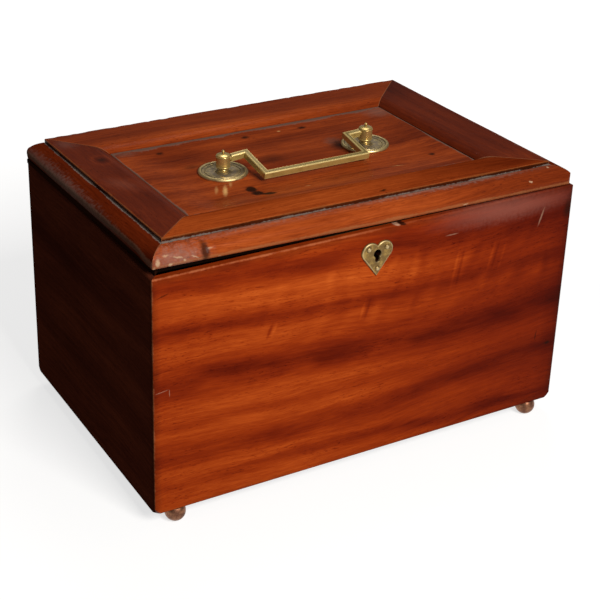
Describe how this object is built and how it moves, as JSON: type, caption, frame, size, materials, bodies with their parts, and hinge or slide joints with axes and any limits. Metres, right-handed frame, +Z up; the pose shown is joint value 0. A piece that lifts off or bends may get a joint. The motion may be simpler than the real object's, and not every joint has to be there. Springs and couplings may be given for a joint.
{
  "type": "tea caddy",
  "caption": "Lidded wooden tea caddy box with a moulded frame-and-panel lid, brass bail handle, heart keyhole plate and ball feet; the lid opens on hinges at the back.",
  "frame": {"origin": "on the floor under the middle of the overall box", "axes": "+X to the right seen from the front, -Y out of the front, +Z up"},
  "size_m": [0.27, 0.177, 0.1755],
  "materials": {
    "mahogany_front": "polished, orange-red figured face",
    "mahogany_dark": "polished, darkened",
    "mahogany_lid": "polished, worn arrises",
    "inside_wood": "unpolished",
    "aged_brass": "aged, olive gold",
    "tarnished_brass": "tarnished, bright rim",
    "foot_brass": "coppery brown",
    "lock_iron": "dull iron"
  },
  "bodies": {
    "case": {"front_board": "mahogany_front", "back_board": "mahogany_dark", "left_side": "mahogany_dark", "right_side": "mahogany_dark", "bottom_board": "inside_wood", "left_partition": "inside_wood", "right_partition": "inside_wood", "escutcheon": "aged_brass", "escutcheon_pins": "aged_brass", "lock_plate": "aged_brass", "lock_cap": "aged_brass", "lock_screws": "aged_brass", "left_case_leaf": "aged_brass", "right_case_leaf": "aged_brass", "case_leaf_screws": "aged_brass", "front_left_foot": "foot_brass", "front_right_foot": "foot_brass", "back_left_foot": "foot_brass", "back_right_foot": "foot_brass", "drill_pin": "lock_iron", "lock_spring": "lock_iron", "left_hinge_pin": "lock_iron", "right_hinge_pin": "lock_iron"},
    "lid": {"lid_front_rail": "mahogany_lid", "lid_back_rail": "mahogany_lid", "lid_left_stile": "mahogany_dark", "lid_right_stile": "mahogany_dark", "lid_panel": "mahogany_lid", "lid_front_moulding": "mahogany_lid", "lid_left_moulding": "mahogany_dark", "lid_right_moulding": "mahogany_dark", "left_lid_leaf": "aged_brass", "right_lid_leaf": "aged_brass", "lid_leaf_screws": "aged_brass", "link_plate": "aged_brass", "link_screws": "aged_brass", "left_rose": "tarnished_brass", "right_rose": "tarnished_brass", "left_post": "aged_brass", "right_post": "aged_brass", "left_nut": "aged_brass", "right_nut": "aged_brass"},
    "bail": {"bail": "aged_brass"},
    "lock_bolt": {"lock_bolt": "lock_iron"}
  },
  "joints": [
    {"name": "lid_hinge", "type": "hinge", "parent": "case", "child": "lid", "pos_m": [0, 0.0857, 0.15345], "axis": [-1, 0, 0], "range_deg": [0, 100]},
    {"name": "bail_swing", "type": "hinge", "parent": "lid", "child": "bail", "pos_m": [0, 0.0027, 0.16985], "axis": [-1, 0, 0], "range_deg": [0, 205]},
    {"name": "bolt_slide", "type": "slide", "parent": "case", "child": "lock_bolt", "axis": [1, 0, 0], "range_m": [0, 0.0042]}
  ]
}
